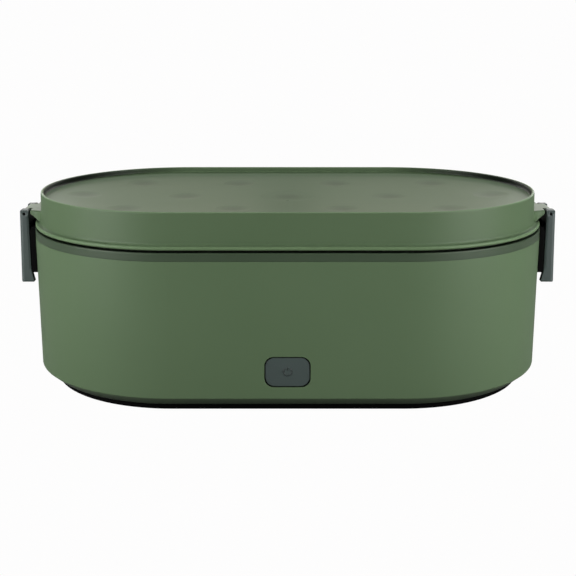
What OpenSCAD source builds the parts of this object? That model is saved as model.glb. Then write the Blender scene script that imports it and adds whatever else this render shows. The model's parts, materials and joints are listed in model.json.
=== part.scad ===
// Electric lunch box: an oblong heated base with a loose food tray, and a lift-off lid
// that is held down by a swinging latch at each end.
// +X runs along the length, -Y is the front with the button, +Y the back with the inlet.
// The origin is on the surface that the feet stand on, under the middle of the box.

/* [Outline] */
// Half length of the straight stretch between the two round ends
half_straight = 51; // [46:0.5:56]
// Outer radius of the body at its top edge, which is also half its depth
body_r = 67.5; // [64:0.25:70]
// Radius that the body loses from its top edge down to its foot
body_draft = 0.1; // [0:0.05:0.8]
// Wall thickness of the body
wall = 2.2; // [1.8:0.1:2.4]

/* [Heights] */
// Height of the rubber feet under the base cover
foot_h = 1.8; // [1.2:0.1:2]
// Height of the crease where the body's wall turns in under the box
crease_z = 9.4; // [9.2:0.1:9.6]
// Height of the underside of the green body
plinth_top = 5.2; // [5:0.1:5.6]
// Height of the seam between the body and the dark collar
seam_z = 70.2; // [68:0.1:80]
// Height of the collar's visible band
band_h = 3.7; // [3.5:0.05:4.5]
// Open gap between the collar and the lid
lid_gap = 0.9; // [0.6:0.1:1.2]

/* [Lid] */
// Height of the lid from the underside of its flange to the top of its rim
lid_h = 15.9; // [15.3:0.1:20]
// How far the top plate lies below the rim
plate_recess = 2.8; // [2:0.1:3.5]
// How far the middle of the top plate sags below its edge
plate_dish = 1.6; // [0:0.1:2]
// Distance between neighbouring dimples along the length
dimple_pitch = 48; // [44:1:50]
// Distance of the outer rows of dimples from the middle row
dimple_row = 34.5; // [30:0.5:38]

/* [Latches] */
// Width of a latch across the end of the box
latch_w = 24; // [20:1:28]
// Height of the lower edge of a latch
latch_foot_z = 47.4; // [45:0.1:50]
// Lean of a latch's outer face from its hinge down to its foot
latch_lean = 0.9; // [0:0.1:1.2]

/* [Button] */
// Width of the button cap
button_w = 19; // [16:0.5:20]
// Height of the button cap
button_h = 12.8; // [11:0.2:13.4]
// Height of the middle of the button
button_z = 21.5; // [20:0.5:24]
// Gap all round the button cap
button_gap = 0.45; // [0.3:0.05:0.6]

/* [Inlet] */
// Height of the middle of the power inlet
inlet_z = 17; // [17:0.5:18]
// Distance between the two contact pins
pin_spacing = 8.6; // [8:0.1:9]
// Radius of a contact pin
pin_r = 1.2; // [1:0.05:1.3]

/* [Hidden] */
$fn = 96;
eps = 0.05;

// Colours
green = [0.34, 0.42, 0.31];
deep_green = [0.22, 0.27, 0.21];
dark_trim = [0.25, 0.3, 0.29];
black = [0.06, 0.06, 0.06];
steel = [0.78, 0.78, 0.78];

// Body, from its foot to its seam
foot_r = body_r - body_draft;
crease_round = 0.6;
under_slope = 50;
under_r = foot_r - (crease_z - plinth_top) * tan(under_slope);
plinth_r = body_r - 7.3;
plinth_wall = 2;
cover_floor = 2;
cover_fit = 0.3;

// Collar, whose ledge carries the pan
collar_r = body_r - 0.05;
collar_top = seam_z + band_h;
spigot_r = body_r - wall - 0.3;
spigot_wall = 2;
spigot_h = 6.2;
ledge_r = body_r - 5.35;
ledge_w = 2;
ledge_z = collar_top - 2.2;
gasket_h = 0.6;

// Pan and tray
pan_r = ledge_r - 0.5;
pan_wall = 1;
pan_floor_z = 26;
pan_corner = 7;
pan_flange_z = ledge_z + gasket_h;
pan_flange_h = 0.8;
tray_r = pan_r - pan_wall - 1;
tray_wall = 0.6;
tray_corner = 10;
tray_draft = 1;
tray_floor_z = pan_floor_z + pan_wall + 0.3;
tray_rim_z = pan_flange_z + pan_flange_h;
tray_rim_w = 3.5;

// Lid
lid_z = collar_top + lid_gap;
rim_z = lid_z + lid_h;
flange_r = body_r - 0.2;
flange_h = 1.75;
flange_top = lid_z + flange_h;
rim_r = body_r - 3.25;
rim_wall = 1.5;
skirt_flare = 0.4;
skirt_inner_r = rim_r - 2.05;
plate_z = rim_z - plate_recess;
plate_wall = 2;
plate_r = rim_r - rim_wall - 1;

// Latch hinge: two ears of the latch turn on a pin in the knuckle of the lid's lug
end_x = half_straight + body_r;
latch_inner_x = end_x + 1.9;
latch_t = 4.1;
hinge_x = latch_inner_x + 2;
hinge_z = flange_top + 3.35;
knuckle_r = 1.75;
hinge_top = hinge_z + knuckle_r;
hinge_pin_r = 0.6;
hinge_fit = 0.06;
knuckle_w = 11.4;
lug_x = latch_inner_x - 1;
lug_plate = 1.5;
lug_rib = 1.6;
lug_fillet = 6.2;
lug_edge = 1.2;
catch_x = latch_inner_x - 0.45;
catch_z = latch_foot_z + 4.8;
peg_r = 2;
peg_z = catch_z + 6;
peg_y = 6;

// Screw bosses of the base, one in each corner
boss_ring = 51.5;
boss_r = 3.6;
boss_z = 4.7;
boss_top = 24;
boss_x = half_straight + boss_ring * cos(45);
boss_y = boss_ring * sin(45);
foot_x = half_straight + 21;
foot_y = 40;

// Parts under the pan
shield_z = 18;
shield_t = 0.6;
shield_r = 42;
spacer_x = 60;
spacer_y = 24;
spacer_hole_h = 4.5;
board_z = 5.6;
board_t = 1.6;
board_top = board_z + board_t;
board_at = [-22, 4];
board_size = [70, 38];
board_hole = [31, 15];
relay = [[-27, -9], [19, 15, 9.8]];
terminal_block = [[2, 10], [13, 6, 7]];
plug = [[19, -10], [6, 16, 6.5]];
element_r = 34;
tube_r = 3;
element_z = pan_floor_z - tube_r - eps;
element_gap = 7;
terminal_r = 1.2;
terminal_h = 4;
blade_x = 5;
blade_z = pan_floor_z - 11;
wire_r = 1;

// Button and switch, from the front face inwards
button_face = -foot_r;
button_back = -(body_r - wall - 0.85);
button_corner = 4;
button_rim = 1.7;
button_rim_t = 1.2;
switch_front = -(body_r - 7.15);
switch_board_y = -(body_r - 10.65);
plunger_r = 1.6;
plunger_fit = 0.05;
post_x = 16;

// Inlet, from its face inwards
inlet_face = body_r + 0.2;
inlet_depth = 10.5;
inlet_back = body_r - 17;
inlet_bezel = [21, 14.4];
inlet_neck = [17, 11];
inlet_fit = 0.2;
// Back of the bezel: just clear of the wall at the bezel's upper edge
inlet_seat = foot_r + body_draft * (inlet_z + inlet_bezel[1] / 2) / seam_z;
tail_r = 0.9;
tail_y = inlet_back - 4;

// A point list along an arc, from the first angle to the second
function arc(at, r, from, to, steps = 6) =
    [for (i = [0 : steps]) let (a = from + (to - from) * i / steps)
        [at[0] + r * cos(a), at[1] + r * sin(a)]];

// Height of the dished top plate at a distance from the middle line of the lid
function plate_height(r) = plate_z - plate_dish * (1 - pow(r / plate_r, 2));

// Outline of the box as seen from above, at a given radius of its ends
module oblong(r) {
    for (side = [-1, 1])
        translate([side * half_straight, 0])
            circle(r = r);
    square([2 * half_straight, 2 * r], center = true);
}

module oblong_plate(r, low, high) {
    translate([0, 0, low])
        linear_extrude(height = high - low)
            oblong(r);
}

// Carries a wall section round the oblong: its x is the distance from the middle line
module oblong_sweep() {
    for (turn = [-90, 90])
        rotate([0, 0, turn])
            translate([0, half_straight, 0])
                rotate_extrude(angle = 180)
                    children();
    for (turn = [0, 180])
        rotate([0, 0, turn])
            translate([-half_straight, 0, 0])
                rotate([90, 0, 90])
                    linear_extrude(height = 2 * half_straight)
                        children();
}

module rounded_rect(w, h, r) {
    square([w - 2 * r, h], center = true);
    square([w, h - 2 * r], center = true);
    for (x = [-1, 1], y = [-1, 1])
        translate([x * (w / 2 - r), y * (h / 2 - r)])
            circle(r = r, $fn = 48);
}

// Stands a flat outline up, facing the front, between two depths
module facing_front(from_y, to_y, z) {
    translate([0, to_y, z])
        rotate([90, 0, 0])
            linear_extrude(height = to_y - from_y)
                children();
}

// Extrudes a section drawn in x and z across the end of the box
module across(w) {
    rotate([90, 0, 0])
        linear_extrude(height = w, center = true)
            children();
}

module at_corners(x, y) {
    for (sx = [-1, 1], sy = [-1, 1])
        translate([sx * x, sy * y, 0])
            children();
}

// Pieces of an end are drawn for the right end, and mirrored for the left one
module at_end(side) {
    mirror([side < 0 ? 1 : 0, 0, 0])
        children();
}

// A thin tube swept along points, with flat ends
module lead(path, r) {
    sides = 8;
    last = len(path) - 1;
    rings = [for (i = [0 : last])
        let (d = path[min(i + 1, last)] - path[max(i - 1, 0)],
            dir = d / norm(d),
            ref = abs(dir[2]) > 0.9 ? [1, 0, 0] : [0, 0, 1],
            u = cross(dir, ref) / norm(cross(dir, ref)),
            v = cross(dir, u))
        for (k = [0 : sides - 1])
            path[i] + r * (cos(360 * k / sides) * u + sin(360 * k / sides) * v)];
    skin = [for (i = [0 : last - 1], k = [0 : sides - 1])
        let (a = i * sides, b = a + sides, n = (k + 1) % sides)
        each [[a + k, a + n, b + k], [a + n, b + n, b + k]]];
    caps = [[for (k = [sides - 1 : -1 : 0]) k], [for (k = [0 : sides - 1]) last * sides + k]];
    polyhedron(points = rings, faces = concat(skin, caps), convexity = 6);
}

// Wall of the body, with a crease above the cone that turns in under the box
module body_section() {
    lip_r = plinth_r + cover_fit;
    lip_top = plinth_top + wall;
    round_z = crease_z + crease_round * tan(under_slope / 2);
    inner_z = crease_z + wall * tan(under_slope / 2);
    polygon(concat(
        [[lip_r, plinth_top], [under_r, plinth_top]],
        arc([foot_r - crease_round, round_z], crease_round, -under_slope, 0, 4),
        [[body_r, seam_z], [body_r - wall, seam_z], [foot_r - wall, inner_z],
            [foot_r - wall - (inner_z - lip_top) * tan(under_slope), lip_top], [lip_r, lip_top]]));
}

module screw_boss() {
    translate([0, 0, boss_z])
        cylinder(r = boss_r, h = boss_top - boss_z, $fn = 48);
}

module body_shell() {
    rib_low = crease_z + 0.4;
    color(green)
    difference() {
        union() {
            oblong_sweep() body_section();
            at_corners(boss_x, boss_y) screw_boss();
            for (side = [0, 180], lean = [-45, 45])
                rotate([0, 0, side])
                    translate([half_straight, 0, rib_low])
                        rotate([0, 0, lean])
                            translate([boss_ring, -1, 0])
                                cube([foot_r - 1.5 - boss_ring, 2, boss_top - rib_low]);
            for (side = [-1, 1])
                translate([side * post_x, -(body_r - wall / 2), button_z - 3])
                    rotate([-90, 0, 0])
                        cylinder(r = 2.6, h = body_r - wall / 2 + switch_board_y, $fn = 32);
        }
        at_corners(boss_x, boss_y)
            translate([0, 0, boss_z - 1])
                cylinder(r = 1.5, h = 14, $fn = 32);
        facing_front(-(body_r + 1), -(body_r - wall - 1.5), button_z)
            rounded_rect(button_w + 2 * button_gap, button_h + 2 * button_gap, button_corner);
        facing_front(body_r - wall - 1.5, body_r + 1, inlet_z)
            rounded_rect(inlet_neck[0] + 2 * inlet_fit, inlet_neck[1] + 2 * inlet_fit, 3.2);
        for (side = [-1, 1], y = [-peg_y, peg_y])
            at_end(side)
                translate([end_x - 6, y, peg_z])
                    rotate([0, 90, 0])
                        cylinder(r = peg_r + eps, h = 8, $fn = 32);
        for (side = [-1, 1])
            translate([side * post_x, switch_board_y + 0.1, button_z - 3])
                rotate([90, 0, 0])
                    cylinder(r = 0.95, h = 6, $fn = 32);
    }
}

module collar_ring() {
    edge = 0.5;
    color(deep_green)
    oblong_sweep()
        polygon(concat(
            [[spigot_r, seam_z], [collar_r, seam_z]],
            arc([collar_r - edge, collar_top - edge], edge, 0, 90, 4),
            [[ledge_r + ledge_w, collar_top], [ledge_r + ledge_w, ledge_z],
                [ledge_r, ledge_z], [ledge_r, seam_z - 0.8],
                [spigot_r - spigot_wall, seam_z - 1.6],
                [spigot_r - spigot_wall, seam_z - spigot_h], [spigot_r, seam_z - spigot_h]]));
}

// Black block on the end of the body, whose lower edge the latch snaps under
module latch_catch() {
    root_x = end_x - 6;
    color(black)
    union() {
        difference() {
            across(latch_w)
                polygon([[root_x, catch_z], [catch_x, catch_z], [catch_x, collar_top - 1.6],
                    [catch_x - 0.8, collar_top], [root_x, collar_top]]);
            oblong_plate(body_r + eps, catch_z - 1, collar_top + 1, $fn = 360);
        }
        for (y = [-peg_y, peg_y])
            translate([end_x - 4, y, peg_z])
                rotate([0, 90, 0])
                    cylinder(r = peg_r, h = 4.4, $fn = 32);
    }
}

module heater_pan() {
    corner_x = pan_r - pan_corner;
    corner_z = pan_floor_z + pan_corner;
    flange_top_z = pan_flange_z + pan_flange_h;
    color(steel)
    oblong_sweep()
        polygon(concat(
            [[0, pan_floor_z]],
            arc([corner_x, corner_z], pan_corner, -90, 0, 6),
            [[pan_r, pan_flange_z], [ledge_r + ledge_w - 0.3, pan_flange_z],
                [ledge_r + ledge_w - 0.3, flange_top_z], [pan_r - pan_wall, flange_top_z]],
            arc([corner_x, corner_z], pan_corner - pan_wall, 0, -90, 6),
            [[0, pan_floor_z + pan_wall]]));
}

module pan_gasket() {
    color("dimgray")
    oblong_sweep()
        translate([ledge_r + 0.1, ledge_z])
            square([ledge_w - 0.2, gasket_h]);
}

// Tube heater bent to the oblong, open at the back for its two terminals
module heating_element() {
    color("slategray")
    union() {
        difference() {
            translate([0, 0, element_z])
                oblong_sweep()
                    translate([element_r, 0])
                        circle(r = tube_r, $fn = 32);
            translate([-element_gap, element_r - 5, element_z - 5])
                cube([2 * element_gap, 10, 10]);
        }
        for (side = [-1, 1])
            translate([side * element_gap, element_r, element_z])
                rotate([0, side * -90, 0])
                    cylinder(r = terminal_r, h = terminal_h, $fn = 32);
    }
}

// Sheet straps that hold the tube against the underside of the pan
module element_clamps() {
    strap = 0.8;
    hold = tube_r + 0.1;
    color(steel)
    for (x = [-30, 30], y = [-1, 1])
        translate([x, y * element_r, 0])
            difference() {
                translate([-4, -hold - strap, element_z - hold - strap])
                    cube([8, 2 * (hold + strap), pan_floor_z - element_z + hold + strap]);
                translate([-5, -hold, element_z])
                    cube([10, 2 * hold, 10]);
                translate([0, 0, element_z])
                    rotate([0, 90, 0])
                        cylinder(r = hold, h = 10, center = true, $fn = 32);
            }
}

module thermostat() {
    color("tan")
    union() {
        translate([0, 0, pan_floor_z - 6.4])
            cylinder(r = 8.2, h = 5.4, $fn = 48);
        translate([0, 0, pan_floor_z - 1])
            cylinder(r = 9.6, h = 1, $fn = 48);
        for (side = [-1, 1])
            translate([side * blade_x - 1.6, -3, blade_z])
                cube([3.2, 0.8, 5]);
    }
}

module thermal_fuse() {
    color("gainsboro")
    translate([24, 0, pan_floor_z - 2.05])
        rotate([0, 90, 0]) {
            cylinder(r = 2, h = 11, $fn = 32);
            translate([0, 0, -6])
                cylinder(r = 0.5, h = 23, $fn = 24);
        }
}

module heat_shield() {
    color(steel)
    difference() {
        oblong_plate(shield_r, shield_z, shield_z + shield_t);
        translate([0, 0, shield_z - 1])
            cylinder(r = 12.5, h = 3);
        at_corners(spacer_x, spacer_y)
            translate([0, 0, shield_z - 1])
                cylinder(r = 1.7, h = 3, $fn = 32);
        translate([-element_gap, element_r - 4, shield_z - 1])
            cube([2 * element_gap, 8, 3]);
    }
}

module shield_spacers() {
    color("gainsboro")
    at_corners(spacer_x, spacer_y)
        translate([0, 0, shield_z + shield_t])
            difference() {
                cylinder(r = 2.6, h = pan_floor_z - shield_z - shield_t, $fn = 32);
                translate([0, 0, -1])
                    cylinder(r = 1.5, h = spacer_hole_h + 1, $fn = 32);
            }
}

// A pan-head screw that points up, with its head just under z = 0
module screw(head_r, head_h, shank_r, shank_h) {
    difference() {
        union() {
            translate([0, 0, -head_h])
                cylinder(r = head_r, h = head_h, $fn = 32);
            cylinder(r = shank_r, h = shank_h, $fn = 32);
        }
        for (turn = [0, 90])
            rotate([0, 0, turn])
                translate([-head_r * 0.6, -head_r * 0.13, -head_h - 0.1])
                    cube([head_r * 1.2, head_r * 0.26, head_h * 0.6]);
    }
}

module shield_screws() {
    color(steel)
    at_corners(spacer_x, spacer_y)
        translate([0, 0, shield_z])
            screw(2.8, 1.4, 1.45, shield_t + spacer_hole_h - 0.3);
}

module control_board() {
    color("darkgreen")
    translate([board_at[0], board_at[1], board_z])
        difference() {
            translate([-board_size[0] / 2, -board_size[1] / 2, 0])
                cube([board_size[0], board_size[1], board_t]);
            at_corners(board_hole[0], board_hole[1])
                translate([0, 0, -1])
                    cylinder(r = 1.7, h = 4, $fn = 32);
        }
}

// Relay, terminal block and plug, each as its corner and size, and two capacitors
module board_parts() {
    color("midnightblue")
    translate([board_at[0], board_at[1], board_top]) {
        for (block = [relay, terminal_block, plug])
            translate(block[0])
                cube(block[1]);
        translate([-2, -6, 0])
            cylinder(r = 4, h = 9.5, $fn = 32);
        translate([9, -6, 0])
            cylinder(r = 3.2, h = 8, $fn = 32);
    }
}

module board_screws() {
    color(steel)
    translate([board_at[0], board_at[1], board_top])
        at_corners(board_hole[0], board_hole[1])
            rotate([180, 0, 0])
                screw(2.7, 1.3, 1.1, 3.2);
}

module switch_board() {
    color("darkgreen")
    difference() {
        translate([-post_x - 4, switch_board_y, button_z - 7.5])
            cube([2 * post_x + 8, board_t, 11.5]);
        for (side = [-1, 1])
            translate([side * post_x, switch_board_y - 1, button_z - 3])
                rotate([-90, 0, 0])
                    cylinder(r = 1.2, h = 4, $fn = 32);
    }
}

module switch_screws() {
    color(steel)
    for (side = [-1, 1])
        translate([side * post_x, switch_board_y + board_t, button_z - 3])
            rotate([90, 0, 0])
                screw(2.2, 1.2, 0.9, 6);
}

module tact_switch() {
    color(black)
    difference() {
        translate([-3, switch_front, button_z - 3])
            cube([6, switch_board_y - switch_front, 6]);
        translate([0, switch_front - 1, button_z])
            rotate([-90, 0, 0])
                cylinder(r = plunger_r + plunger_fit, h = 3.9, $fn = 32);
    }
}

// Leads from the inlet to the terminal block, and from the plug to the heater, the thermostat
// and the switch. Each starts and ends just short of what it joins
module wiring() {
    near = 0.15;
    wire_z = board_top + 3.5;
    block_y = board_at[1] + terminal_block[0][1] + terminal_block[1][1] + near;
    block_x = board_at[0] + terminal_block[0][0] + terminal_block[1][0] / 2;
    plug_x = board_at[0] + plug[0][0] + plug[1][0] / 2;
    plug_front = board_at[1] + plug[0][1] - near;
    plug_back = plug_front + plug[1][1] + 2 * near;
    tail_end = tail_y - near;
    heater_z = element_z - terminal_r - near;
    heater_x = element_gap - terminal_h / 2;
    switch_y = switch_board_y + board_t + near;
    color("firebrick") {
        for (side = [-1, 1]) {
            lead([[side * pin_spacing / 2, tail_end, inlet_z],
                [side * pin_spacing / 2, tail_end - 3, inlet_z],
                [side * 4 - 4, tail_end - 8, (inlet_z + wire_z) / 2],
                [block_x + side * 3.5 + 3, block_y + 10, wire_z + 0.5],
                [block_x + side * 3.5, block_y + 3, wire_z],
                [block_x + side * 3.5, block_y, wire_z]], wire_r);
            lead([[side * heater_x, element_r, heater_z],
                [side * heater_x, element_r, heater_z - 5],
                [side * heater_x, element_r - 4, 13],
                [side * 2.5 + 1.5, plug_back + 8, wire_z + 0.5],
                [plug_x + side * 1.5, plug_back + 2.5, wire_z],
                [plug_x + side * 1.5, plug_back, wire_z]], wire_r);
        }
        lead([[blade_x, -2.6, blade_z - near], [blade_x, -2.6, blade_z - 2],
            [blade_x + 2.5, -8, wire_z + 0.5], [blade_x + 1.5, plug_front - 4.5, wire_z - 0.5],
            [plug_x + 2, plug_front - 3.5, wire_z - 0.5],
            [plug_x + 1.5, plug_front - 1.5, wire_z - 0.5],
            [plug_x + 1.5, plug_front, wire_z - 0.5]], wire_r);
        lead([[8, switch_y, button_z - 2.5], [8, switch_y + 3, button_z - 2.5],
            [7, switch_y + 10, 14], [3, plug_front - 16, wire_z],
            [plug_x - 1.5, plug_front - 5, wire_z - 0.5],
            [plug_x - 1.5, plug_front, wire_z - 0.5]], wire_r);
    }
}

module inlet_mouth() {
    end_r = 3.7;
    flat_h = 6.4;
    spread = 6.5;
    for (side = [-1, 1])
        translate([side * spread / 2, 0])
            circle(r = end_r, $fn = 48);
    square([spread, flat_h], center = true);
}

module power_inlet() {
    color(black)
    difference() {
        union() {
            facing_front(inlet_seat, inlet_face, inlet_z)
                rounded_rect(inlet_bezel[0], inlet_bezel[1], 4.5);
            facing_front(inlet_back, inlet_seat, inlet_z)
                rounded_rect(inlet_neck[0], inlet_neck[1], 3);
        }
        facing_front(inlet_face - inlet_depth, inlet_face + 1, inlet_z)
            inlet_mouth();
        for (side = [-1, 1])
            translate([side * pin_spacing / 2, inlet_back - 1, inlet_z])
                rotate([-90, 0, 0])
                    cylinder(r = tail_r, h = 12, $fn = 32);
    }
}

// Contact pins with a thinner tail through the back wall of the inlet
module inlet_pins() {
    tip = 1.8;
    root_y = inlet_face - inlet_depth;
    color("goldenrod")
    for (side = [-1, 1])
        translate([side * pin_spacing / 2, 0, inlet_z])
            rotate([-90, 0, 0]) {
                translate([0, 0, root_y])
                    cylinder(r = pin_r, h = inlet_depth - tip, $fn = 32);
                translate([0, 0, tail_y])
                    cylinder(r = tail_r, h = root_y - tail_y + 1, $fn = 32);
            }
}

module base_cover() {
    rounding = 1;
    floor_top = foot_h + cover_floor;
    color(black)
    difference() {
        union() {
            oblong_sweep()
                polygon(concat(
                    [[0, foot_h]],
                    arc([plinth_r - rounding, foot_h + rounding], rounding, -90, 0, 4),
                    [[plinth_r, plinth_top + wall], [plinth_r - plinth_wall, plinth_top + wall],
                        [plinth_r - plinth_wall, floor_top], [0, floor_top]]));
            at_corners(boss_x, boss_y)
                translate([0, 0, foot_h])
                    cylinder(r = 4.8, h = boss_z - 0.1 - foot_h, $fn = 48);
            translate([board_at[0], board_at[1], 0])
                at_corners(board_hole[0], board_hole[1])
                    translate([0, 0, foot_h + 1])
                        cylinder(r = 2.6, h = board_z - foot_h - 1, $fn = 32);
            for (x = [-90, -66, 26, 46, 66, 90])
                translate([x - 0.6, -30, floor_top - 1])
                    cube([1.2, 60, 2.6]);
            for (y = [-28, 28])
                translate([20, y - 0.6, floor_top - 1])
                    cube([70, 1.2, 2.6]);
        }
        at_corners(boss_x, boss_y) {
            translate([0, 0, 0])
                cylinder(r = 1.7, h = 8, $fn = 32);
            translate([0, 0, foot_h - 1])
                cylinder(r = 3.1, h = 2.8, $fn = 32);
        }
        at_corners(foot_x, foot_y)
            translate([0, 0, foot_h - 1])
                cylinder(r = 5.05, h = 1.8, $fn = 48);
        translate([board_at[0], board_at[1], 0])
            at_corners(board_hole[0], board_hole[1])
                translate([0, 0, foot_h + 1.2])
                    cylinder(r = 1.15, h = 6, $fn = 32);
    }
}

module base_screws() {
    color(steel)
    at_corners(boss_x, boss_y)
        translate([0, 0, foot_h + 1.8])
            screw(2.9, 1.5, 1.45, 11);
}

module rubber_feet() {
    edge = 0.5;
    color("black")
    at_corners(foot_x, foot_y)
        rotate_extrude()
            polygon([[0, 0], [5 - edge, 0], [5, edge], [5, foot_h + 0.8], [0, foot_h + 0.8]]);
}

module lid_section() {
    fillet = 1;
    top_round = rim_wall / 2;
    bead = flange_h / 2;
    cove = 1.2;
    steps = 8;
    plate_points = [for (i = [0 : steps]) plate_r * i / steps];
    under_points = [for (i = [steps : -1 : 0]) (skirt_inner_r - 1.4) * i / steps];
    polygon(concat(
        [for (r = plate_points) [r, plate_height(r)]],
        arc([plate_r, plate_z + fillet], fillet, -60, 0, 4),
        arc([rim_r - top_round, rim_z - top_round], top_round, 180, 0, 8),
        arc([rim_r + skirt_flare + cove, flange_top + cove], cove, 180, 270, 5),
        arc([flange_r - bead, flange_top - bead], bead, 90, -90, 8),
        [[skirt_inner_r, lid_z], [skirt_inner_r, plate_z - plate_wall - 1.4]],
        [for (r = under_points) [r, plate_height(r) - plate_wall]]));
}

// Shallow round hollow in the top plate, tilted with the sag of the plate
module dimple(at, r, depth) {
    ball = (r * r + depth * depth) / (2 * depth);
    reach = asin(1.2 * r / ball);
    out = [at[0] - sign(at[0]) * min(abs(at[0]), half_straight), at[1]];
    slope = 2 * plate_dish * norm(out) / pow(plate_r, 2);
    translate([at[0], at[1], plate_height(norm(out))])
        rotate([0, 0, atan2(out[1], out[0])])
            rotate([0, -atan(slope), 0])
                rotate_extrude($fn = 48)
                    polygon(concat(
                        [for (i = [0 : 4]) let (a = reach * i / 4)
                            [ball * sin(a), ball * (1 - cos(a)) - depth]],
                        [[ball * sin(reach), 1], [0, 1]]));
}

// Lug on the lid's skirt: a plate on two gussets that flare into the skirt, with a knuckle
// round the hinge pin. The flares and their rounded top edges are cut by two bell shapes
module hinge_lug() {
    root_x = half_straight + rim_r - 7;
    skirt_r = rim_r + 0.3;
    lean_in = 1.25;
    corner_drop = 0.8;
    side_y = latch_w / 2;
    bell_y = side_y + lug_fillet;
    bell_x = half_straight + sqrt(pow(skirt_r + lug_fillet, 2) - pow(bell_y, 2));
    flare_y = bell_y * skirt_r / (skirt_r + lug_fillet);
    plate_low = hinge_top - lug_plate;
    low_z = flange_top - 0.4;
    difference() {
        across(2 * flare_y)
            polygon([[root_x, low_z], [lug_x - lean_in * (plate_low - low_z), low_z],
                [lug_x, plate_low], [lug_x, hinge_top], [root_x, hinge_top]]);
        for (y = [-bell_y, bell_y])
            translate([bell_x, y, 0])
                rotate_extrude()
                    polygon(concat(
                        [[0, low_z - 1], [lug_fillet, low_z - 1]],
                        arc([lug_fillet + lug_edge, hinge_top - lug_edge], lug_edge, 180, 90),
                        [[lug_fillet + lug_edge, hinge_top + 1], [0, hinge_top + 1]]));
        translate([root_x - 1, lug_rib - side_y, low_z - 1])
            cube([lug_x - root_x + 2, 2 * (side_y - lug_rib), plate_low - low_z + 1]);
    }
    across(knuckle_w) {
        translate([hinge_x, hinge_z])
            circle(r = knuckle_r, $fn = 48);
        polygon([[root_x, hinge_top], [hinge_x, hinge_top], [hinge_x, hinge_z],
            [hinge_x - knuckle_r * cos(45), hinge_z - knuckle_r * sin(45)],
            [lug_x - 1, plate_low - corner_drop], [root_x, plate_low - corner_drop]]);
    }
}

module lid_shell() {
    color(green)
    difference() {
        union() {
            oblong_sweep() lid_section();
            difference() {
                for (side = [-1, 1])
                    at_end(side) hinge_lug();
                oblong_plate(skirt_inner_r + 0.6, lid_z, rim_z);
            }
        }
        for (x = [-2 : 2])
            if (x != 0)
                dimple([x * dimple_pitch, 0], 8, 0.3);
        dimple([0, 0], 13, 0.35);
        for (x = [-1.5 : 1.5], y = [-1, 1])
            dimple([x * dimple_pitch, y * dimple_row], 8, 0.3);
        translate([0, -12, plate_z - plate_dish - 0.6])
            cylinder(r = 0.6, h = 3, $fn = 24);
        for (side = [-1, 1])
            at_end(side)
                translate([hinge_x, 0, hinge_z])
                    rotate([90, 0, 0])
                        cylinder(r = hinge_pin_r, h = latch_w, center = true, $fn = 32);
    }
}

// Inner cover of the lid, with the groove for the seal round its edge
module lid_liner() {
    groove_r = skirt_inner_r - 3.45;
    roof_z = lid_z + 2.5;
    top_z = lid_z + 6.9;
    color("gainsboro")
    oblong_sweep()
        polygon([[0, top_z - 1.5], [groove_r - 1.4, top_z - 1.5], [groove_r - 1.4, lid_z + 0.3],
            [groove_r, lid_z + 0.3], [groove_r, roof_z], [skirt_inner_r - eps, roof_z],
            [skirt_inner_r - eps, roof_z + 1.5], [groove_r, roof_z + 1.5], [groove_r, top_z],
            [0, top_z]]);
}

// Soft ring with two lips that press on the rim of the tray
module lid_seal() {
    lip = 0.7;
    inner_r = skirt_inner_r - 3.25;
    low_z = tray_rim_z + tray_wall + 0.1;
    step_z = low_z + 1.5;
    top_z = lid_z + 2.5;
    color([0.16, 0.18, 0.17])
    oblong_sweep()
        polygon(concat(
            [[inner_r, top_z]],
            arc([inner_r + lip, low_z + lip], lip, 180, 360, 6),
            [[inner_r + 2 * lip, step_z], [inner_r + 2 * lip + 0.2, step_z]],
            arc([inner_r + 3 * lip + 0.2, low_z + lip], lip, 180, 360, 6),
            [[inner_r + 4 * lip + 0.2, top_z]]));
}

module hinge_pin() {
    color(steel)
    translate([hinge_x, 0, hinge_z])
        rotate([90, 0, 0])
            cylinder(r = hinge_pin_r, h = latch_w - 2.4, center = true, $fn = 32);
}

// Section of a latch: a plate whose outer face leans out, with a snap lip at its foot
module latch_section() {
    outer_x = latch_inner_x + latch_t;
    outer_foot_x = outer_x + latch_lean;
    lip_x = latch_inner_x - 1.15;
    top_in = 1;
    top_out = 0.6;
    polygon(concat(
        arc([latch_inner_x + top_in, hinge_top - top_in], top_in, 90, 180, 4),
        [[latch_inner_x, catch_z + 0.6], [lip_x, latch_foot_z + 0.5],
            [lip_x + 0.4, latch_foot_z], [outer_foot_x - 0.6, latch_foot_z],
            [outer_foot_x, latch_foot_z + 0.6]],
        arc([outer_x - top_out, hinge_top - top_out], top_out, 0, 90, 4)));
}

// Outline of a latch as seen from the end of the box
module latch_outline() {
    top_r = 3.2;
    low_r = 0.8;
    x = latch_w / 2;
    polygon(concat(
        arc([x - top_r, hinge_top - top_r], top_r, 0, 90),
        arc([top_r - x, hinge_top - top_r], top_r, 90, 180),
        arc([low_r - x, latch_foot_z + low_r], low_r, 180, 270, 4),
        arc([x - low_r, latch_foot_z + low_r], low_r, 270, 360, 4)));
}

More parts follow.
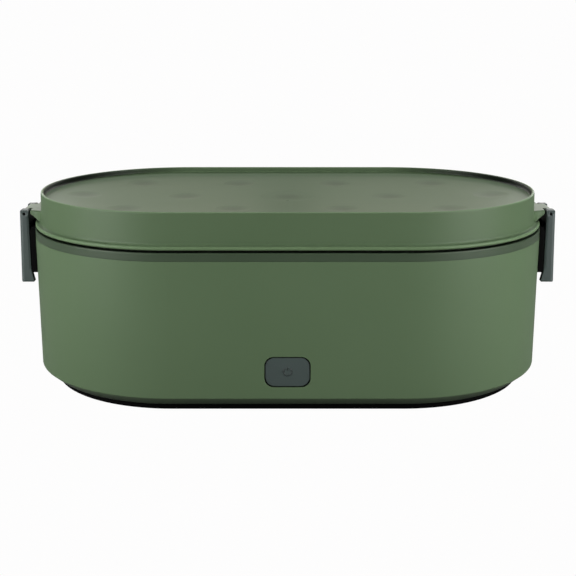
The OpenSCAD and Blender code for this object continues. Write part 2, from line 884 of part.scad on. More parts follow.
// Plate with a slot for the lid's knuckle, a finger notch and three pockets inside
module latch() {
    notch_w = 18;
    pocket_w = 6;
    pocket_gap = 1.2;
    pocket_depth = 1.4;
    corner = 1.6;
    corner_depth = 10;
    bevel = [0.95, 0.25];
    reach = 0.2;
    clear = 0.02;
    high = hinge_top - latch_foot_z;
    lean = atan(latch_lean / high);
    color(dark_trim)
    difference() {
        intersection() {
            across(latch_w) latch_section();
            rotate([90, 0, 90])
                linear_extrude(height = end_x + 20)
                    latch_outline();
            translate([latch_inner_x + latch_t + clear, 0, hinge_top])
                rotate([0, -lean, 0])
                    translate([-corner_depth / 2, 0, -high - 2])
                        linear_extrude(height = high + 4)
                            rounded_rect(corner_depth, latch_w, corner);
        }
        translate([hinge_x - 4, -knuckle_w / 2 - 0.3, hinge_z - 2.4])
            cube([8, knuckle_w + 0.6, 8]);
        translate([hinge_x, 0, hinge_z])
            rotate([90, 0, 0])
                cylinder(r = hinge_pin_r + hinge_fit, h = latch_w + 2, center = true, $fn = 32);
        translate([latch_inner_x - 5, 0, latch_foot_z])
            rotate([90, 0, 90])
                linear_extrude(height = 14)
                    rounded_rect(notch_w, 2 * (catch_z - latch_foot_z + 0.4), 2);
        for (side = [-1, 1])
            translate([latch_inner_x, side * latch_w / 2, catch_z + 1.5])
                linear_extrude(height = high)
                    polygon([[-reach, side * reach],
                        [-reach, -side * bevel[1] * (1 + reach / bevel[0])],
                        [bevel[0] * (1 + reach / bevel[1]), side * reach]]);
        for (i = [-1 : 1])
            translate([latch_inner_x - 1, i * (pocket_w + pocket_gap) - pocket_w / 2, catch_z + 3.5])
                cube([1 + pocket_depth, pocket_w, hinge_z - catch_z - 8]);
    }
}

// Cap with a retaining rim behind the wall of the body, and a short stem
module power_button() {
    crown = 140;
    color(dark_trim)
    union() {
        intersection() {
            facing_front(button_face - 1, button_back, button_z)
                rounded_rect(button_w, button_h, button_corner);
            translate([0, button_face + crown, button_z])
                sphere(r = crown, $fn = 180);
        }
        facing_front(button_back, button_back + button_rim_t, button_z)
            rounded_rect(button_w + 2 * button_rim, button_h + 2 * button_rim, button_corner + 1);
        translate([0, button_back + button_rim_t, button_z])
            rotate([-90, 0, 0])
                cylinder(r = 2.2, h = switch_front - 1.5 - button_back - button_rim_t, $fn = 32);
    }
}

module switch_plunger() {
    color("ivory")
    translate([0, switch_front - 1.5, button_z])
        rotate([-90, 0, 0])
            cylinder(r = plunger_r, h = 3.6, $fn = 32);
}

module food_tray() {
    foot = tray_r - tray_draft;
    corner_x = foot - tray_corner;
    corner_z = tray_floor_z + tray_corner;
    lead_in = 1.5;
    rim_top = tray_rim_z + tray_wall;
    color(steel)
    oblong_sweep()
        polygon(concat(
            [[0, tray_floor_z]],
            arc([corner_x, corner_z], tray_corner, -90, 0, 8),
            [[tray_r, tray_rim_z], [tray_r + tray_rim_w, tray_rim_z],
                [tray_r + tray_rim_w, rim_top]],
            arc([tray_r - tray_wall + lead_in, rim_top - lead_in], lead_in, 90, 180, 4),
            arc([corner_x, corner_z], tray_corner - tray_wall, 0, -90, 8),
            [[0, tray_floor_z + tray_wall]]));
}

body_shell();
collar_ring();
at_end(-1) latch_catch();  // catch_left
at_end(1) latch_catch();  // catch_right
heater_pan();
pan_gasket();
heating_element();
element_clamps();
thermostat();
thermal_fuse();
heat_shield();
shield_spacers();
shield_screws();
control_board();
board_parts();
board_screws();
switch_board();
switch_screws();
tact_switch();
wiring();
power_inlet();
inlet_pins();
base_cover();
base_screws();
rubber_feet();
lid_shell();
lid_liner();
lid_seal();
at_end(-1) hinge_pin();  // hinge_pin_left
at_end(1) hinge_pin();  // hinge_pin_right
at_end(-1) latch();  // latch_left
at_end(1) latch();  // latch_right
power_button();
switch_plunger();
food_tray();
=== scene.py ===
"""Looks of the electric lunch box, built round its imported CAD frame."""

import json
import math

import bmesh
import bpy
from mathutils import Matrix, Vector


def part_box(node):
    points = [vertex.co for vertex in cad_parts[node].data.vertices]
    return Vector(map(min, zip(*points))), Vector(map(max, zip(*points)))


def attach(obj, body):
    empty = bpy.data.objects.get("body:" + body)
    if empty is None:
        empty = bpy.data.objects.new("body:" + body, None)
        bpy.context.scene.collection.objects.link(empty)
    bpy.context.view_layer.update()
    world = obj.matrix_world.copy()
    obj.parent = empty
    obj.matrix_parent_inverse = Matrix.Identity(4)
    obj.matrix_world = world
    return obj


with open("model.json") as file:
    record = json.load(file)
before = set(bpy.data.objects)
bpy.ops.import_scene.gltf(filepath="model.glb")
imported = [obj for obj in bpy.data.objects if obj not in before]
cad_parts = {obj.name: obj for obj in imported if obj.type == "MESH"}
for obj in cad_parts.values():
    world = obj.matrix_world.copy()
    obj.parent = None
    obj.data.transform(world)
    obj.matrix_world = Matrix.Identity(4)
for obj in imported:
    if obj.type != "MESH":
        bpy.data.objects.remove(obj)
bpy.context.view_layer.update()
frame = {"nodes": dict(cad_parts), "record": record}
nodes = frame["nodes"]

MM = 0.001

# Tones of the plastics, as linear values: the colour, and a paler one for drift and worn edges
OLIVE = ((0.082, 0.1275, 0.066), (0.104, 0.153, 0.086))
LID_OLIVE = ((0.076, 0.1185, 0.061), (0.104, 0.153, 0.086))
BAND = ((0.041, 0.062, 0.036), (0.065, 0.092, 0.058))
SLATE = ((0.043, 0.060, 0.056), (0.060, 0.080, 0.074))
SYMBOL_INK = ((0.016, 0.024, 0.022), (0.043, 0.060, 0.056))
SOOT = ((0.0012, 0.0012, 0.0012), (0.004, 0.004, 0.004))
SEAL_GREY = ((0.012, 0.014, 0.013), (0.02, 0.022, 0.021))
LINER_WHITE = ((0.60, 0.60, 0.56), (0.68, 0.68, 0.65))
FOOT_BLACK = ((0.012, 0.012, 0.012), (0.03, 0.03, 0.03))
HOUSING_BLACK = ((0.015, 0.015, 0.017), (0.03, 0.03, 0.03))
BAKELITE_TAN = ((0.42, 0.33, 0.22), (0.5, 0.42, 0.3))
SLEEVE_RED = ((0.24, 0.02, 0.015), (0.3, 0.05, 0.04))

# Tones of the metals: the colour, and a darker one between the scratches
TRAY_STEEL = ((0.66, 0.66, 0.64), (0.58, 0.58, 0.565))
PAN_ALUMINIUM = ((0.68, 0.69, 0.70), (0.61, 0.62, 0.63))
PLATED_STEEL = ((0.56, 0.56, 0.56), (0.45, 0.45, 0.45))
BLACKENED_STEEL = ((0.020, 0.020, 0.021), (0.012, 0.012, 0.012))
HEATER_SHEATH = ((0.20, 0.20, 0.21), (0.11, 0.10, 0.10))
CONTACT_BRASS = ((0.62, 0.44, 0.18), (0.5, 0.34, 0.12))

# Circuit board: solder mask, the tracks under it, and the pads
BOARD_MASK = (0.012, 0.075, 0.030)
BOARD_TRACK = (0.03, 0.16, 0.06)
BOARD_PAD = (0.45, 0.42, 0.34)

# Studio: what the camera sees of it, and its two light colours
BACKDROP = (0.985, 0.982, 0.982)
WHITE = (1.0, 1.0, 1.0)
WARM = (1.0, 0.93, 0.78)


def set_inputs(node, values):
    """Gives inputs their values by name, where _ stands for a space."""
    for name, value in values.items():
        node.inputs[name.replace("_", " ")].default_value = value


class Tree:
    """A node tree with short calls for adding and joining nodes."""

    def __init__(self, tree):
        self.tree = tree

    def add(self, kind, **inputs):
        """A new node, with values for its inputs by name."""
        node = self.tree.nodes.new(kind)
        set_inputs(node, inputs)
        return node

    def feed(self, value, socket):
        """Gives an input a number, a colour or the output of another node."""
        if isinstance(value, (int, float)):
            socket.default_value = value
        elif isinstance(value, tuple):
            socket.default_value = (*value, 1.0)
        else:
            self.tree.links.new(value, socket)

    def group(self, group, **inputs):
        """Outputs of a node group, with numbers for its inputs by name."""
        node = self.add("ShaderNodeGroup")
        node.node_tree = group
        set_inputs(node, inputs)
        return node.outputs

    def place(self):
        """Place on the object, which is the place in the shared frame."""
        return self.add("ShaderNodeTexCoord").outputs["Object"]

    def normal(self):
        """Normal of the surface."""
        return self.add("ShaderNodeNewGeometry").outputs["Normal"]

    def rounded_normal(self, radius, samples):
        """Normal as if every edge were rounded by a small radius."""
        node = self.add("ShaderNodeBevel")
        node.samples = samples
        self.feed(radius, node.inputs["Radius"])
        return node.outputs["Normal"]

    def axes(self, vector):
        """The X, Y and Z of a vector."""
        node = self.add("ShaderNodeSeparateXYZ")
        self.feed(vector, node.inputs[0])
        return node.outputs

    def math(self, operation, a, b=None):
        """Result of one operation on numbers."""
        node = self.add("ShaderNodeMath")
        node.operation = operation
        self.feed(a, node.inputs[0])
        if b is not None:
            self.feed(b, node.inputs[1])
        return node.outputs[0]

    def vector_math(self, operation, a, b):
        """Results of one operation on vectors."""
        node = self.add("ShaderNodeVectorMath")
        node.operation = operation
        self.feed(a, node.inputs[0])
        self.feed(b, node.inputs[1])
        return node.outputs

    def ramp(self, source, low, high, out_low=0.0, out_high=1.0, shape="LINEAR"):
        """Maps the span from low to high onto another one, and holds it past its ends."""
        node = self.add("ShaderNodeMapRange")
        node.interpolation_type = shape
        for name, value in (("Value", source), ("From Min", low), ("From Max", high),
                            ("To Min", out_low), ("To Max", out_high)):
            self.feed(value, node.inputs[name])
        return node.outputs["Result"]

    def mix(self, factor, a, b):
        """Colour between a and b."""
        node = self.add("ShaderNodeMix")
        node.data_type = "RGBA"
        for value, socket in ((factor, node.inputs[0]), (a, node.inputs[6]), (b, node.inputs[7])):
            self.feed(value, socket)
        return node.outputs[2]

    def noise(self, vector, scale, detail, roughness):
        """Noise from 0 to 1, with most of it near the middle."""
        node = self.add("ShaderNodeTexNoise", Detail=detail, Roughness=roughness)
        self.feed(vector, node.inputs["Vector"])
        self.feed(scale, node.inputs["Scale"])
        return node.outputs["Fac"]


def new_group(name, inputs, outputs):
    """An empty shader node group with named sockets: (tree, inputs, outputs)."""
    group = bpy.data.node_groups.new(name, "ShaderNodeTree")
    for label, value in inputs.items():
        socket = group.interface.new_socket(label, in_out="INPUT", socket_type="NodeSocketFloat")
        socket.default_value = value
    for label in outputs:
        group.interface.new_socket(label, in_out="OUTPUT", socket_type="NodeSocketFloat")
    source = group.nodes.new("NodeGroupInput")
    sink = group.nodes.new("NodeGroupOutput")
    return Tree(group), source.outputs, sink.inputs


# Middle part of a noise that is spread over the whole range
NOISE_MIDDLE = (0.3, 0.7)


def make_mould_grain():
    """Spark-eroded grain of a moulding: fine height, and a slow drift of the surface."""
    tree, given, result = new_group(
        "mould_grain", {"Grain Scale": 2400.0, "Drift Scale": 14.0}, ("Height", "Drift"))
    place = tree.place()
    fine = tree.noise(place, given["Grain Scale"], detail=3.0, roughness=0.6)
    slow = tree.noise(place, given["Drift Scale"], detail=2.0, roughness=0.5)
    tree.feed(fine, result["Height"])
    tree.feed(tree.ramp(slow, *NOISE_MIDDLE), result["Drift"])
    return tree.tree


# Agreement of the normal with the rounded one: where wear begins, and where it is full
WEAR_BEND = (0.995, 0.85)
# Part of the noise that breaks the wear up
WEAR_BREAKUP = (0.35, 0.65)


def make_edge_wear():
    """Mask that is high along edges, broken up by noise."""
    tree, given, result = new_group(
        "edge_wear", {"Width": 0.6 * MM, "Breakup": 160.0}, ("Mask",))
    rounded = tree.rounded_normal(given["Width"], samples=4)
    agreement = tree.vector_math("DOT_PRODUCT", rounded, tree.normal())["Value"]
    broken = tree.noise(tree.place(), given["Breakup"], detail=3.0, roughness=0.6)
    mask = tree.math("MULTIPLY", tree.ramp(agreement, *WEAR_BEND),
                     tree.ramp(broken, *WEAR_BREAKUP))
    tree.feed(mask, result["Mask"])
    return tree.tree


# Share of open sky: where the painted shade in a joint begins, and where it is darkest
CREVICE_SKY = (0.74, 0.28)


def make_crevice_shade():
    """Mask for painted shade in deep joints and corners, where little light gets in."""
    tree, given, result = new_group("crevice_shade", {"Reach": 4 * MM}, ("Mask",))
    sky = tree.add("ShaderNodeAmbientOcclusion")
    sky.samples = 6
    tree.feed(given["Reach"], sky.inputs["Distance"])
    tree.feed(tree.ramp(sky.outputs["AO"], *CREVICE_SKY), result["Mask"])
    return tree.tree


def make_height_band():
    """Mask of a level band, from one height to another, with soft edges."""
    tree, given, result = new_group(
        "height_band", {"Low": 0.0, "High": 1 * MM, "Soft": 0.3 * MM}, ("Mask",))
    height = tree.axes(tree.place())["Z"]
    over = tree.math("DIVIDE", tree.math("SUBTRACT", height, given["Low"]), given["Soft"])
    under = tree.math("DIVIDE", tree.math("SUBTRACT", given["High"], height), given["Soft"])
    tree.feed(tree.ramp(tree.math("MINIMUM", over, under), -0.5, 0.5), result["Mask"])
    return tree.tree


# Upward part of the normal: where a face begins to count as level, and where it fully does
LEVEL = (0.93, 0.98)


def make_hollow_shade():
    """Mask of the round hollows of the lid, where shade is painted: rows of discs, every other row
    moved half a pitch.
    """
    tree, given, result = new_group(
        "hollow_shade",
        {"Pitch": 48 * MM, "Row": 34.5 * MM, "Inner": 1 * MM, "Outer": 9.5 * MM}, ("Mask",))
    place = tree.axes(tree.place())

    def distance(pitches, across):
        """Distance from the nearest disc of a row: along it in pitches, and across it."""
        step = tree.math("SUBTRACT", pitches, tree.math("ROUND", pitches))
        run = tree.math("MULTIPLY", step, given["Pitch"])
        return tree.math("SQRT", tree.math("ADD", tree.math("MULTIPLY", run, run),
                                           tree.math("MULTIPLY", across, across)))

    along = tree.math("DIVIDE", place["X"], given["Pitch"])
    aside = tree.math("SUBTRACT", tree.math("ABSOLUTE", place["Y"]), given["Row"])
    nearest = tree.math("MINIMUM", distance(along, place["Y"]),
                        distance(tree.math("ADD", along, 0.5), aside))
    disc = tree.ramp(nearest, given["Outer"], given["Inner"], shape="SMOOTHSTEP")
    level = tree.ramp(tree.axes(tree.normal())["Z"], *LEVEL)
    tree.feed(tree.math("MULTIPLY", disc, level), result["Mask"])
    return tree.tree


# Outward part of the normal, times the radius: where a wall begins to count as turned inward,
# and where it fully does
INWARD = (-20 * MM, -40 * MM)
# Heights over the edge of the recess's floor, as the mask begins and as it is full: of the wall,
# and of the plate, which sags a little below that edge
WALL_FOOT = (0.0, 0.3 * MM)
PLATE_SAG = (-4 * MM, -3 * MM)


def make_rim_shadow():
    """Masks of the lid's recess for painted shade: its wall at the two ends, which is painted
    dark, and what is level from its plate up, which is kept clear of the painted joint shade.
    """
    tree, given, result = new_group(
        "rim_shadow", {"Floor": 87.9 * MM, "Straight": 51 * MM}, ("Wall", "Plate"))
    place = tree.axes(tree.place())
    normal = tree.axes(tree.normal())
    over = tree.math("SUBTRACT", place["Z"], given["Floor"])
    end = tree.math("MINIMUM", tree.math("ABSOLUTE", place["X"]), given["Straight"])
    middle = tree.math("MULTIPLY", end, tree.math("SIGN", place["X"]))
    along = tree.math("SUBTRACT", place["X"], middle)
    outward = tree.math("ADD", tree.math("MULTIPLY", normal["X"], along),
                        tree.math("MULTIPLY", normal["Y"], place["Y"]))
    wall = tree.math("MULTIPLY", tree.ramp(over, *WALL_FOOT), tree.ramp(outward, *INWARD))
    front = tree.math("SUBTRACT", 1.0, tree.math("ABSOLUTE", normal["X"]))
    turned = tree.math("SUBTRACT", 1.0, tree.math("MULTIPLY", front, front))
    tree.feed(tree.math("MULTIPLY", wall, turned), result["Wall"])
    plate = tree.math("MULTIPLY", tree.ramp(over, *PLATE_SAG), tree.ramp(normal["Z"], *LEVEL))
    tree.feed(plate, result["Plate"])
    return tree.tree


def make_brushing():
    """Fine parallel scratches along X, as a height and as a shade."""
    tree, given, result = new_group(
        "brushing", {"Scale": 900.0, "Stretch": 0.03}, ("Height", "Shade"))
    stretch = tree.add("ShaderNodeCombineXYZ", Y=1.0, Z=1.0)
    tree.feed(given["Stretch"], stretch.inputs["X"])
    stretched = tree.vector_math("MULTIPLY", tree.place(), stretch.outputs[0])["Vector"]
    lines = tree.noise(stretched, given["Scale"], detail=4.0, roughness=0.7)
    tree.feed(lines, result["Height"])
    tree.feed(tree.ramp(lines, *NOISE_MIDDLE), result["Shade"])
    return tree.tree


GRAIN = make_mould_grain()
WEAR = make_edge_wear()
CREVICE_SHADE = make_crevice_shade()
HEIGHT_BAND = make_height_band()
HOLLOW_SHADE = make_hollow_shade()
RIM_SHADOW = make_rim_shadow()
BRUSHING = make_brushing()


def new_material(name, **shader_values):
    """A material with a Principled BSDF: (material, tree, shader)."""
    material = bpy.data.materials.new(name)
    material.use_nodes = True
    shader = material.node_tree.nodes["Principled BSDF"]
    set_inputs(shader, shader_values)
    return material, Tree(material.node_tree), shader


def add_bump(tree, shader, height, strength, depth, edge_radius=None):
    """Feeds a height into the shader's normal, over edges rounded by a small radius."""
    bump = tree.add("ShaderNodeBump", Strength=strength, Distance=depth)
    tree.feed(height, bump.inputs["Height"])
    if edge_radius:
        tree.feed(tree.rounded_normal(edge_radius, samples=6), bump.inputs["Normal"])
    tree.feed(bump.outputs["Normal"], shader.inputs["Normal"])


# Plastics: refractive index, depth of the grain, radius of the edges, how far the slow drift and
# worn edges go towards the paler tone, how dark the painted shade in joints and corners gets and
# the share of the colour it leaves in the darkest, and how far the drift moves the roughness
PLASTIC_IOR = 1.48
GRAIN_DEPTH = 0.04 * MM
EDGE_RADIUS = 0.4 * MM
DRIFT_SHARE = 0.22
WEAR_SHARE = 0.35
CREVICE_PAINTED_SHADE = 0.9
DEEP_SHARE = 0.04
ROUGH_BELOW = 0.02
ROUGH_ABOVE = 0.03

# The lid's recess: its depth, and the share of the colour left in its round hollows by their
# painted shade
RECESS = 2.8 * MM
HOLLOW_PAINTED_SHADE = 0.72

# Heights of the lid's underside, of its top and of the floor of its recess, and half the length
# of the straight stretch
LID_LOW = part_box("lid_shell")[0][2]
LID_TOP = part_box("lid_shell")[1][2]
LID_FLOOR = LID_TOP - RECESS
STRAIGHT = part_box("body_shell")[1][0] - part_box("body_shell")[1][1]

# Painted highlights along bands of the lid, the flange and the top of the rim, where their rounded
# edges catch the light: from which height to which, and how much paler
FLANGE_HIGHLIGHT = (LID_LOW, LID_LOW + 1.75 * MM, 1.40)
RIM_HIGHLIGHT = (LID_TOP - 0.30 * MM, LID_TOP + MM, 1.5)


def scaled(colour, share):
    """The same hue with a share of the light."""
    return tuple(c * share for c in colour)


def moulded_plastic(name, tones, rough, gloss=0.5, grain_scale=2400.0, grain=0.12, reach=4 * MM,
                    recess=None, painted_highlight_bands=()):
    """Moulded plastic: slow drift of colour, fine grain, paler rubbed edges, painted shade in
    joints and corners, and on the lid painted highlight bands and painted shade on its recess wall
    and round hollows.
    """
    colour, pale = tones
    material, tree, shader = new_material(name, IOR=PLASTIC_IOR, Specular_IOR_Level=gloss)
    surface = tree.group(GRAIN, Grain_Scale=grain_scale)
    wear = tree.math("MULTIPLY", tree.group(WEAR)["Mask"], WEAR_SHARE)
    # Painted shade: joints and corners that see little open sky get darker, down to a small share
    # of the colour
    dark = tree.math("MULTIPLY", tree.group(CREVICE_SHADE, Reach=reach)["Mask"], CREVICE_PAINTED_SHADE)
    shaded = tree.mix(tree.math("MULTIPLY", surface["Drift"], DRIFT_SHARE), colour, pale)
    shaded = tree.mix(wear, shaded, pale)
    # Painted highlights: bands where a rounded edge catches the light are made paler
    for low, high, paler in painted_highlight_bands:
        band = tree.group(HEIGHT_BAND, Low=low, High=high)["Mask"]
        shaded = tree.mix(band, shaded, scaled(colour, paler))
    # On the lid, painted shade darkens the recess's wall at the two ends, and the painted joint
    # shade is kept off its plate
    if recess:
        rim = tree.group(RIM_SHADOW, Floor=recess, Straight=STRAIGHT)
        dark = tree.math("MULTIPLY", dark, tree.math("SUBTRACT", 1.0, rim["Plate"]))
        dark = tree.math("MAXIMUM", dark, rim["Wall"])
    shaded = tree.mix(dark, shaded, scaled(colour, DEEP_SHARE))
    # Painted shade in the lid's round hollows
    if recess:
        shaded = tree.mix(tree.group(HOLLOW_SHADE)["Mask"], shaded, scaled(colour, HOLLOW_PAINTED_SHADE))
    tree.feed(shaded, shader.inputs["Base Color"])
    tree.feed(tree.ramp(surface["Drift"], 0.0, 1.0, rough - ROUGH_BELOW, rough + ROUGH_ABOVE),
              shader.inputs["Roughness"])
    add_bump(tree, shader, surface["Height"], grain, GRAIN_DEPTH, EDGE_RADIUS)
    return material


SCRATCH_DEPTH = 0.03 * MM


def brushed_metal(name, tones, rough, scale=900.0, stretch=0.03, relief=0.15, uneven=0.12):
    """Metal with fine parallel scratches: their relief, and how much their roughness varies."""
    colour, dark = tones
    material, tree, shader = new_material(name, Metallic=1.0)
    lines = tree.group(BRUSHING, Scale=scale, Stretch=stretch)
    tree.feed(tree.mix(lines["Shade"], dark, colour), shader.inputs["Base Color"])
    # The dark lines are rougher and the pale ones smoother
    tree.feed(tree.ramp(lines["Shade"], 0.0, 1.0, rough + uneven * 2 / 3, rough - uneven / 3),
              shader.inputs["Roughness"])
    add_bump(tree, shader, lines["Height"], relief, SCRATCH_DEPTH)
    return material


# Circuit board: roughness, how close its tracks and its pads lie, the gap between the tracks, and
# their relief and depth
BOARD_ROUGH = 0.35
TRACK_SCALE = 260.0
PAD_SCALE = 380.0
TRACK_GAP = 0.04
TRACK_RELIEF = 0.2
TRACK_DEPTH = 0.05 * MM
# Distance from the middle of a pad: where its edge begins, and where the pad is full
PAD_EDGE = (0.16, 0.12)


def board_laminate(name):
    """Solder mask over copper tracks, with rows of pads."""
    material, tree, shader = new_material(name, Roughness=BOARD_ROUGH)
    place = tree.place()
    tracks = tree.add("ShaderNodeTexBrick", Scale=TRACK_SCALE, Mortar_Size=TRACK_GAP)
    dots = tree.add("ShaderNodeTexVoronoi", Scale=PAD_SCALE)
    for pattern in (tracks, dots):
        tree.feed(place, pattern.inputs["Vector"])
    shade = tree.mix(tracks.outputs["Fac"], BOARD_MASK, BOARD_TRACK)
    pads = tree.ramp(dots.outputs["Distance"], *PAD_EDGE)
    tree.feed(tree.mix(pads, shade, BOARD_PAD), shader.inputs["Base Color"])
    add_bump(tree, shader, tracks.outputs["Fac"], TRACK_RELIEF, TRACK_DEPTH)
    return material


# The finish of each material slot, made when a node first needs it
PAINTS = {
    # The body's painted shade reaches far, so its underside darkens towards the floor
    "shell_green": lambda: moulded_plastic(
        "body_olive", OLIVE, rough=0.42, gloss=0.2, reach=12 * MM),
    "lid_green": lambda: moulded_plastic(
        "lid_olive", LID_OLIVE, rough=0.42, gloss=0.2, recess=LID_FLOOR,
        painted_highlight_bands=(FLANGE_HIGHLIGHT, RIM_HIGHLIGHT)),
    "collar_green": lambda: moulded_plastic("collar_olive", BAND, rough=0.36, gloss=0.25),
    "trim_dark": lambda: moulded_plastic("trim_slate", SLATE, rough=0.42),
    "symbol_dark": lambda: moulded_plastic("symbol_slate", SYMBOL_INK, rough=0.40),
    "plastic_black": lambda: moulded_plastic(
        "cover_black", SOOT, rough=0.62, gloss=0.05, grain_scale=1300.0, grain=0.3),
    "seal_silicone": lambda: moulded_plastic("seal_grey", SEAL_GREY, rough=0.6, grain=0.05),
    "liner_plastic": lambda: moulded_plastic("liner_white", LINER_WHITE, rough=0.45),
    "foot_rubber": lambda: moulded_plastic(
        "foot_black", FOOT_BLACK, rough=0.8, grain_scale=1200.0, grain=0.4),
    "component_black": lambda: moulded_plastic("component_black", HOUSING_BLACK, rough=0.5),
    "ceramic": lambda: moulded_plastic("bakelite_tan", BAKELITE_TAN, rough=0.6),
    "wire_sleeve": lambda: moulded_plastic("wire_sleeve", SLEEVE_RED, rough=0.5),
    "tray_steel": lambda: brushed_metal(
        "tray_steel", TRAY_STEEL, rough=0.30, relief=0.04, uneven=0.05),
    "pan_aluminium": lambda: brushed_metal(
        "pan_aluminium", PAN_ALUMINIUM, rough=0.38, relief=0.05, uneven=0.06),
    "steel_hardware": lambda: brushed_metal(
        "plated_steel", PLATED_STEEL, rough=0.30, scale=2500.0, stretch=0.4),
    "pin_steel": lambda: brushed_metal(
        "blackened_steel", BLACKENED_STEEL, rough=0.45, scale=2500.0, stretch=0.4),
    "heater_tube": lambda: brushed_metal(
        "heater_sheath", HEATER_SHEATH, rough=0.48, scale=1200.0, stretch=0.6),
    "brass_contacts": lambda: brushed_metal(
        "contact_brass", CONTACT_BRASS, rough=0.25, scale=2000.0, stretch=0.3),
    "board_green": lambda: board_laminate("board_laminate"),
}

# Nodes whose finish differs a little from the rest of their slot
OWN_PAINTS = {"lid_shell": "lid_green", "hinge_pin_left": "pin_steel",
              "hinge_pin_right": "pin_steel"}


def paint_nodes():
    """Gives every CAD node the finish of its material slot, or its own."""
    made = {}
    for part in frame["record"]["subparts"]:
        label = OWN_PAINTS.get(part["node"], part["material_slot"])
        if label not in made:
            made[label] = PAINTS[label]()
        mesh = nodes[part["node"]].data
        mesh.materials.clear()
        mesh.materials.append(made[label])


# The power symbol on the button: its radius, its height over the middle of the cap, the angle
# that is left open at the top, and the ends of the bar in it, as shares of the radius
SYMBOL_R = 1.75 * MM
SYMBOL_UP = 0.2 * MM
SYMBOL_OPEN = math.radians(76)
BAR_FOOT = 0.25
BAR_TOP = 1.25
RING_STEPS = 36
BAR_STEPS = 5
# Its raised lines: their width and height, the share of both that is left at their ends, and the
# points across them
LINE_W = 0.62 * MM
LINE_H = 0.22 * MM
END_W = 0.55
END_H = 0.5
LINE_POINTS = 8


def raised_line(mesh, points):
    """A low rounded bead along points in the XZ plane, with its back set into what it lies on."""
    sections = []
    for i, at in enumerate(points):
        before = points[max(i - 1, 0)]
        after = points[min(i + 1, len(points) - 1)]
        run = (after - before).normalized()
        side = Vector((-run.z, 0, run.x))
        is_end = i in (0, len(points) - 1)
        half = LINE_W / 2 * (END_W if is_end else 1)
        crown = Vector((0, -LINE_H * (END_H if is_end else 1), 0))
        section = []
        for k in range(LINE_POINTS):
            turn = math.pi * k / (LINE_POINTS - 1)
            place = at + side * half * math.cos(turn) + crown * math.sin(turn)
            section.append(mesh.verts.new(place))
        for edge in (-half, half):
            section.append(mesh.verts.new(at + side * edge + Vector((0, LINE_H, 0))))
        sections.append(section)
    for one, two in zip(sections, sections[1:]):
        for k in range(len(one)):
            n = (k + 1) % len(one)
            mesh.faces.new((one[k], one[n], two[n], two[k]))
    mesh.faces.new(sections[0])
    mesh.faces.new(list(reversed(sections[-1])))


def power_symbol():
    """Ring with an open top and a short bar in the opening, raised on the button's cap."""
    low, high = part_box("power_button")
    middle_z = (low[2] + high[2]) / 2 + SYMBOL_UP
    cap = nodes["power_button"]

    def on_cap(x, z):
        """The place on the cap's face in front of a point."""
        hit, at, _, _ = cap.ray_cast(Vector((x, low[1] - MM, z)), Vector((0, 1, 0)))
        return Vector(at) if hit else Vector((x, low[1], z))

    mesh = bmesh.new()
    ring = []
    for i in range(RING_STEPS + 1):
        turn = (math.pi + SYMBOL_OPEN) / 2 + (2 * math.pi - SYMBOL_OPEN) * i / RING_STEPS
        ring.append(on_cap(SYMBOL_R * math.cos(turn), middle_z + SYMBOL_R * math.sin(turn)))
    raised_line(mesh, ring)
    bar = []
    for i in range(BAR_STEPS + 1):
        share = BAR_FOOT + (BAR_TOP - BAR_FOOT) * i / BAR_STEPS
        bar.append(on_cap(0, middle_z + SYMBOL_R * share))
    raised_line(mesh, bar)
    bmesh.ops.recalc_face_normals(mesh, faces=mesh.faces)
    data = bpy.data.meshes.new("power_symbol")
    mesh.to_mesh(data)
    mesh.free()
    for face in data.polygons:
        face.use_smooth = True
    data.materials.append(PAINTS["symbol_dark"]())
    symbol = bpy.data.objects.new("power_symbol", data)
    bpy.context.scene.collection.objects.link(symbol)
    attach(symbol, "button")


# Camera of the photograph
CAMERA_AT = (0.0002, -0.5281, 0.1787)
CAMERA_AIM = (0.0002, 0.0, 0.0414)
CAMERA_LENS = 70.59
SENSOR = 36.0
CLIP_END = 10.0


def aim_at_box(thing, at):
    """Places a camera or a light, and turns it to the point that the camera looks at."""
    thing.location = at
    thing.rotation_euler = (Vector(CAMERA_AIM) - Vector(at)).to_track_quat("-Z", "Y").to_euler()


def make_camera():
    """The photograph's camera, as fitted to the edges in it."""
    data = bpy.data.cameras.new("photo_camera")
    data.lens = CAMERA_LENS
    data.sensor_width = SENSOR
    data.clip_end = CLIP_END
    camera = bpy.data.objects.new("photo_camera", data)
    bpy.context.scene.collection.objects.link(camera)
    aim_at_box(camera, CAMERA_AT)
    bpy.context.scene.camera = camera


# Soft boxes of the studio: name, place, width and height, power in watts, and colour. Each one
# that stands to the left has a twin to the right
SOFT_BOXES = [
    ("front_corner", (-0.297, -0.297, 0.17), (0.30, 0.30), 0.51, WHITE),
    ("end_front", (-0.364, -0.210, 0.17), (0.30, 0.30), 1.25, WHITE),
    ("end_high", (-0.414, -0.073, 0.46), (0.16, 0.16), 0.43, WHITE),
    ("back_side", (-0.525, 0.909, 0.26), (0.50, 0.36), 1.38, WHITE),
    ("back_low", (-0.272, 1.014, 0.26), (0.50, 0.36), 0.44, WARM),
    ("overhead", (0.0, 0.75, 0.95), (1.20, 0.60), 8.3, WHITE),
]
# Share of the light that the floor throws back, and the floor's width and depth
FLOOR_BOUNCE = 0.25
FLOOR_SIZE = 8.0
# Light from all round, which this studio doesn't have
ROOM_LIGHT = 0.0


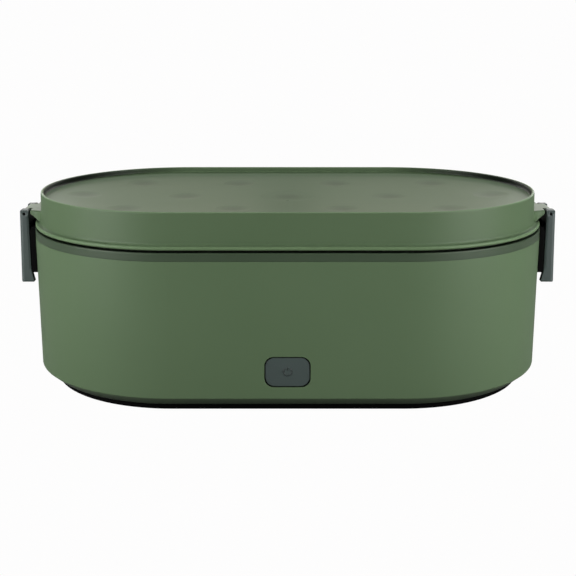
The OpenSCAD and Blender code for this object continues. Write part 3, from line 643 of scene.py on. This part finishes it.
def soft_box(name, at, size, power, colour):
    """A flat rectangular light that the camera doesn't see."""
    data = bpy.data.lights.new(name, "AREA")
    data.shape = "RECTANGLE"
    data.size, data.size_y = size
    data.energy = power
    data.color = colour
    light = bpy.data.objects.new(name, data)
    bpy.context.scene.collection.objects.link(light)
    aim_at_box(light, at)
    light.visible_camera = False


def white_to_camera(tree, shade, surface):
    """Shows plain white to the camera, and the given shade to every other ray."""
    white = tree.add("ShaderNodeEmission", Color=(*BACKDROP, 1.0))
    mixed = tree.add("ShaderNodeMixShader")
    tree.feed(tree.add("ShaderNodeLightPath").outputs["Is Camera Ray"], mixed.inputs[0])
    tree.feed(shade, mixed.inputs[1])
    tree.feed(white.outputs[0], mixed.inputs[2])
    tree.feed(mixed.outputs[0], surface)


def make_floor():
    """White floor that the box stands on."""
    bpy.ops.mesh.primitive_plane_add(size=FLOOR_SIZE, location=(0, 0, 0))
    floor = bpy.context.object
    floor.name = "studio_floor"
    material, tree, shader = new_material("floor_white")
    material.node_tree.nodes.remove(shader)
    matt = tree.add("ShaderNodeBsdfDiffuse", Color=(*scaled(WHITE, FLOOR_BOUNCE), 1.0))
    white_to_camera(tree, matt.outputs[0],
                    material.node_tree.nodes["Material Output"].inputs["Surface"])
    floor.data.materials.append(material)


def make_room():
    """White backdrop without a horizon."""
    world = bpy.data.worlds.new("studio")
    bpy.context.scene.world = world
    world.use_nodes = True
    room = world.node_tree.nodes["Background"]
    room.inputs["Color"].default_value = (*WHITE, 1.0)
    room.inputs["Strength"].default_value = ROOM_LIGHT
    white_to_camera(Tree(world.node_tree), room.outputs[0],
                    world.node_tree.nodes["World Output"].inputs["Surface"])
    bpy.context.scene.view_settings.view_transform = "Standard"


def make_lights():
    """The soft boxes: pairs at the sides, and one overhead."""
    for name, (x, y, z), size, power, colour in SOFT_BOXES:
        if x == 0:
            soft_box(name, (x, y, z), size, power, colour)
            continue
        soft_box(name + "_left", (x, y, z), size, power, colour)
        soft_box(name + "_right", (-x, y, z), size, power, colour)


make_camera()
paint_nodes()
power_symbol()
make_floor()
make_room()
make_lights()
